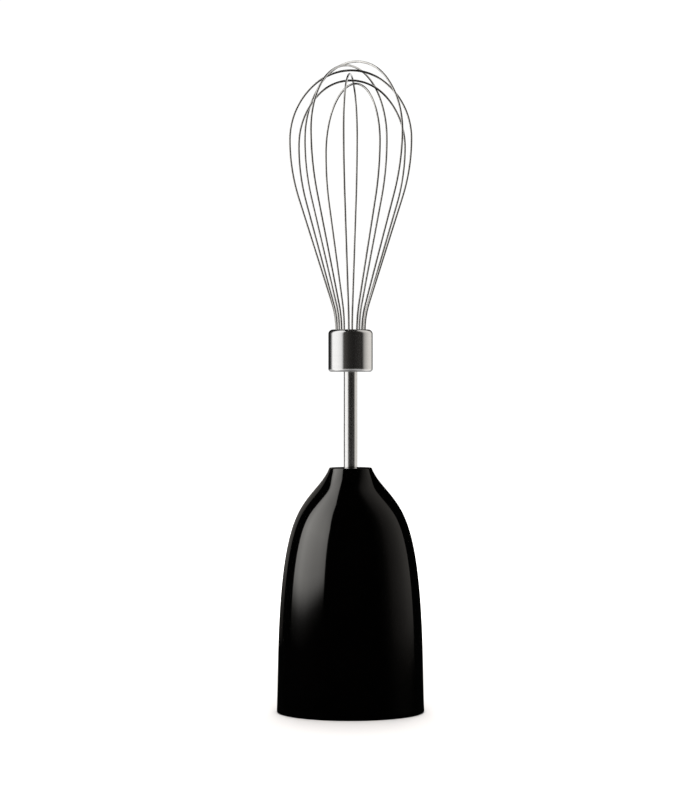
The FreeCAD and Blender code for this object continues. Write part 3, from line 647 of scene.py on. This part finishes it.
bell = stand_in(make_bell(), "bell_shell")
rods = [stand_in(make_ferrule(), "ferrule"), stand_in(make_shaft(), "whisk_shaft")]
wires = []
for number, loop in enumerate(WIRE_LOOPS, start=1):
    wires.append(stand_in(make_wire(number, loop), f"whisk_wire_{number}"))


# ---- studio ------------------------------------------------------------------------------------

# Lengths in this section are in metres.
FLOOR_HALF = 6.0
FLOOR_GAP = 0.00002
FLOOR_COLOUR = (0.8, 0.775, 0.76, 1)
GLOW_COLOUR = (1.0, 0.995, 0.985, 1)
# How far from the object the floor's painted glow starts and reaches full, and how strong it then
# is. The floor glows like a lamp, and leaving the glow out near the object paints shade round it.
GLOW_START = 0.1
GLOW_STOP = 0.5
GLOW_FULL = 1.02

# How bright the world is to the camera, and to everything else.
BACKGROUND_WHITE = 1.05
ROOM_DARK = 0.002

SOFTBOX_DISTANCE = 1.0

# Colours of the lights, from white to the warm light that a dim corner of a studio gives back.
WHITE = (1.0, 1.0, 1.0)
NEARLY_WHITE = (1.0, 0.975, 0.93)
WARM_GREY = (1.0, 0.94, 0.87)

# The light just above the floor that stands for the floor to the steel.
BELOW_SIDE = 1.6
BELOW_GAP = 0.0003

# The light over the object, which lights the floor alone.
OVERHEAD_WIDTH = 0.6
OVERHEAD_DEPTH = 2.4
OVERHEAD_HEIGHT = 1.4

CAMERA_PLACE = (-0.00022, -1.2028, 0.1537)
# How many degrees the camera looks down.
CAMERA_DOWN = 0.68
# The lens and the sensor are in millimetres.
CAMERA_LENS = 121.14
CAMERA_SENSOR = 36.0


def floor():
    """Pale floor whose painted glow runs it into the white background; the glow fades out towards
    the object, which paints shade where the floor meets it.
    """
    half = FLOOR_HALF
    corners = [(-half, -half, 0), (half, -half, 0), (half, half, 0), (-half, half, 0)]
    mesh = bpy.data.meshes.new("floor")
    mesh.from_pydata(corners, [], [(0, 1, 2, 3)])
    plane = bpy.data.objects.new("floor", mesh)
    plane.location.z = cad_box[0].z - FLOOR_GAP
    bpy.context.scene.collection.objects.link(plane)
    paint = bpy.data.materials.new("floor")
    paint.use_nodes = True
    nodes, links = paint.node_tree.nodes, paint.node_tree.links
    shader = nodes["Principled BSDF"]
    shader.inputs["Base Color"].default_value = FLOOR_COLOUR
    shader.inputs["Roughness"].default_value = 0.9
    shader.inputs["Specular IOR Level"].default_value = 0.0
    shader.inputs["Emission Color"].default_value = GLOW_COLOUR
    away = nodes.new("ShaderNodeVectorMath")
    away.operation = "LENGTH"
    links.new(nodes.new("ShaderNodeTexCoord").outputs["Object"], away.inputs[0])
    # Painted glow: emission that grows with distance from the object, so the floor is painted
    # darker round the object.
    glow = nodes.new("ShaderNodeMapRange")
    glow.interpolation_type = "SMOOTHSTEP"
    for socket, number in zip(RANGE_SOCKETS, (GLOW_START, GLOW_STOP, 0.0, GLOW_FULL)):
        glow.inputs[socket].default_value = number
    links.new(away.outputs["Value"], glow.inputs["Value"])
    links.new(glow.outputs["Result"], shader.inputs["Emission Strength"])
    mesh.materials.append(paint)
    plane.visible_glossy = False
    return plane


def backdrop():
    """White where the camera looks past the object, and a dark room everywhere else."""
    world = bpy.data.worlds.new("studio")
    world.use_nodes = True
    bpy.context.scene.world = world
    nodes, links = world.node_tree.nodes, world.node_tree.links
    room = nodes["Background"]
    room.inputs["Color"].default_value = (1, 1, 1, 1)
    room.inputs["Strength"].default_value = ROOM_DARK
    white = nodes.new("ShaderNodeBackground")
    white.inputs["Color"].default_value = (1, 1, 1, 1)
    white.inputs["Strength"].default_value = BACKGROUND_WHITE
    mix = nodes.new("ShaderNodeMixShader")
    links.new(nodes.new("ShaderNodeLightPath").outputs["Is Camera Ray"], mix.inputs["Fac"])
    links.new(room.outputs["Background"], mix.inputs[1])
    links.new(white.outputs["Background"], mix.inputs[2])
    links.new(mix.outputs["Shader"], nodes["World Output"].inputs["Surface"])


def area_light(name, width, height, radiance, only, tint):
    """An area light of that radiance, unseen by the camera, that lights only these pieces."""
    light = bpy.data.lights.new(name, "AREA")
    light.shape = "RECTANGLE"
    light.size, light.size_y = width, height
    light.energy = radiance * math.pi * width * height
    light.color = tint
    lamp = bpy.data.objects.new(name, light)
    lamp.visible_camera = False
    bpy.context.scene.collection.objects.link(lamp)
    group = bpy.data.collections.new(name + "_lights")
    for piece in only:
        group.objects.link(piece)
    lamp.light_linking.receiver_collection = group
    return lamp


def ramp(tree, stops, source):
    """A share that follows a source through (position, share) stops, as a ColorRamp."""
    node = tree.nodes.new("ShaderNodeValToRGB")
    elements = node.color_ramp.elements
    elements[1].position = 1.0
    for position, _ in stops[1:-1]:
        elements.new(position)
    for element, (position, share) in zip(elements, stops):
        element.position = position
        element.color = (share, share, share, 1)
    tree.links.new(source, node.inputs["Fac"])
    return node.outputs["Color"]


def combined(tree, operation, first, second):
    """The result of a Math node."""
    node = tree.nodes.new("ShaderNodeMath")
    node.operation = operation
    tree.links.new(first, node.inputs[0])
    tree.links.new(second, node.inputs[1])
    return node.outputs["Value"]


def patterned(lamp):
    """Makes ready for a pattern on an area light: its node tree, and the place across and up it."""
    lamp.data.use_nodes = True
    tree = lamp.data.node_tree
    spot = tree.nodes.new("ShaderNodeNewGeometry").outputs["Parametric"]
    place = tree.nodes.new("ShaderNodeSeparateXYZ")
    tree.links.new(spot, place.inputs["Vector"])
    return tree, place.outputs[0], place.outputs[1]


def shape_light(tree, share):
    """Each place on the light shines with this share of its radiance."""
    tree.links.new(share, tree.nodes["Emission"].inputs["Strength"])


def softbox(name, radiance, across, upwards, only, tint=WHITE, slant=None, rise=None):
    """An upright softbox that faces the object. across gives how bright it is as
    (azimuth, share) pairs, with azimuth in degrees seen from above, 0 at the camera and 90 to its
    right; upwards does so as (height, share) pairs. slant moves the pattern left, as (height,
    metres) pairs, and rise moves it up, as (azimuth, metres) pairs."""
    distance = SOFTBOX_DISTANCE
    middle = (across[0][0] + across[-1][0]) / 2
    width = 2 * distance * math.tan(math.radians(across[-1][0] - middle))
    bottom, top = upwards[0][0], upwards[-1][0]
    lamp = area_light(name, width, top - bottom, radiance, only, tint)
    tree, sideways, up = patterned(lamp)

    def at_azimuth(azimuth):
        return 0.5 + distance * math.tan(math.radians(azimuth - middle)) / width

    def at_height(height):
        return (height - bottom) / (top - bottom)

    raised = up
    if rise:
        stops = [(at_azimuth(azimuth), metres / (top - bottom)) for azimuth, metres in rise]
        shift = ramp(tree, stops, sideways)
        raised = combined(tree, "SUBTRACT", up, shift)
    if slant:
        stops = [(at_height(height), metres / width) for height, metres in slant]
        shift = ramp(tree, stops, up)
        sideways = combined(tree, "ADD", sideways, shift)
    share_across = ramp(tree, [(at_azimuth(azimuth), share) for azimuth, share in across], sideways)
    share_up = ramp(tree, [(at_height(height), share) for height, share in upwards], raised)
    shape_light(tree, combined(tree, "MULTIPLY", share_across, share_up))
    turn = math.radians(middle)
    lamp.location = (distance * math.sin(turn), -distance * math.cos(turn), (bottom + top) / 2)
    lamp.rotation_euler = (math.pi / 2, 0, turn)


def bell_lights(dark):
    """A softbox on the left whose upper right edge slants in, a dim one on the right, and a faint
    light from behind for the left rim."""
    softbox(
        "key_left",
        radiance=2.1,
        across=[(-111, 0.62), (-104, 0.76), (-97, 0.97), (-92, 1.0), (-85, 0.96), (-78, 0.93),
                (-67, 0.85), (-57, 0.8), (-47, 0.66), (-44.8, 0.55), (-44.4, 0.0), (-44, 0.0)],
        upwards=[(-0.04, 0.0), (0.0, 0.015), (0.02, 0.03), (0.04, 0.08), (0.06, 0.2),
                 (0.085, 0.4), (0.11, 0.6), (0.13, 0.69), (0.15, 0.76), (0.25, 0.85),
                 (0.5, 1.0), (0.8, 0.94), (1.6, 0.74), (3.2, 0.72)],
        only=dark,
        tint=NEARLY_WHITE,
        slant=[(0.8, 0.0), (1.05, 0.06), (1.34, 0.13), (1.9, 0.25), (2.1, 0.34), (2.6, 0.63),
               (3.2, 0.98)],
        rise=[(-90, 0.0), (-78, 0.01), (-66, 0.035), (-54, 0.07), (-44.5, 0.11)],
    )
    softbox(
        "fill_right",
        radiance=0.2,
        across=[(48, 0.0), (58, 0.04), (66, 0.15), (75, 0.36), (85, 0.55), (95, 0.74),
                (107, 0.97), (121, 1.0)],
        upwards=[(-0.1, 0.0), (-0.07, 0.08), (-0.04, 0.3), (0.0, 0.6), (0.03, 0.7), (0.09, 0.9),
                 (0.15, 1.0), (6.0, 1.0)],
        only=dark,
        tint=WARM_GREY,
    )
    softbox(
        "rim_left",
        radiance=0.12,
        across=[(-175, 1.0), (-140, 1.0)],
        upwards=[(-0.06, 0.0), (-0.048, 0.1), (-0.026, 0.16), (0.004, 0.28), (0.036, 0.6),
                 (0.06, 0.9), (0.1, 1.0), (3.2, 1.0)],
        only=dark,
        tint=WARM_GREY,
    )


def steel_lights(rods, wires):
    """The steel has softboxes of its own, brighter and further round than the bell's, so that the
    black bell keeps its depth. The wires have others again, which leave their front dim between
    bright edges."""
    tall = [(-1.0, 1.0), (3.2, 1.0)]
    dim_foot = [(-1.0, 0.55), (-0.15, 0.6), (0.02, 1.0), (3.2, 1.0)]
    softbox(
        "rods_left",
        radiance=1.5,
        across=[(-146, 0.02), (-131, 0.03), (-121, 0.08), (-113, 0.55), (-105, 1.0),
                (-75, 0.98), (-62, 0.9), (-51, 0.82), (-45, 0.7), (-40, 0.35), (-36, 0.03)],
        upwards=dim_foot,
        only=rods,
    )
    softbox(
        "rods_right",
        radiance=1.05,
        across=[(60, 0.0), (65, 0.04), (72, 0.29), (79, 0.52), (86, 0.64), (93, 0.75),
                (101, 0.87), (113, 0.97), (135, 1.0), (141, 0.6), (150, 0.4)],
        upwards=dim_foot,
        only=rods,
        tint=NEARLY_WHITE,
    )
    softbox(
        "rods_front",
        radiance=0.085,
        across=[(-36, 1.0), (-24, 0.72), (-8, 0.33), (15, 0.2), (35, 0.3), (60, 0.5)],
        upwards=tall,
        only=rods,
        tint=WARM_GREY,
    )
    softbox("wires_left", 1.55, [(-127, 1.0), (-56, 1.0)], tall, wires, NEARLY_WHITE)
    softbox("wires_right", 1.1, [(72, 0.6), (113, 0.95), (150, 1.0)], tall, wires, NEARLY_WHITE)
    softbox("wires_front", 0.03, [(-55, 1.0), (65, 1.0)], tall, wires, WARM_GREY)
    softbox("wires_back", 0.9, [(150, 1.0), (210, 1.0)], [(-0.1, 1.0), (0.8, 1.0)], wires)
    below = area_light("rods_below", BELOW_SIDE, BELOW_SIDE, radiance=0.52, only=rods, tint=WHITE)
    below.location = (0.0, 0.0, cad_box[0].z + BELOW_GAP)
    below.rotation_euler = (math.pi, 0, 0)
    tree, sideways, _ = patterned(below)
    # Darker in the middle, as (place across, share) pairs.
    stripes = [(0.0, 1.1), (0.43, 1.1), (0.485, 0.75), (0.52, 0.7), (0.57, 1.0), (1.0, 1.0)]
    shape_light(tree, ramp(tree, stripes, sideways))


def lights():
    """Every light. Light linking shows each piece only the lights that are meant for it."""
    shown_cad = [o for o in frame["nodes"].values() if not o.hide_render]
    bell_lights([bell] + shown_cad)
    steel_lights(rods, wires)
    overhead = area_light(
        "overhead", OVERHEAD_WIDTH, OVERHEAD_DEPTH, radiance=9.3, only=[ground], tint=WHITE
    )
    overhead.location = (0.0, 0.0, OVERHEAD_HEIGHT)


def camera():
    """A camera in front of the object, tilted slightly down."""
    data = bpy.data.cameras.new("camera")
    data.sensor_width = CAMERA_SENSOR
    data.lens = CAMERA_LENS
    eye = bpy.data.objects.new("camera", data)
    eye.location = CAMERA_PLACE
    eye.rotation_euler = (math.radians(90 - CAMERA_DOWN), 0, 0)
    bpy.context.scene.collection.objects.link(eye)
    bpy.context.scene.camera = eye


ground = floor()
backdrop()
lights()
camera()
bpy.context.scene.view_settings.view_transform = "Standard"
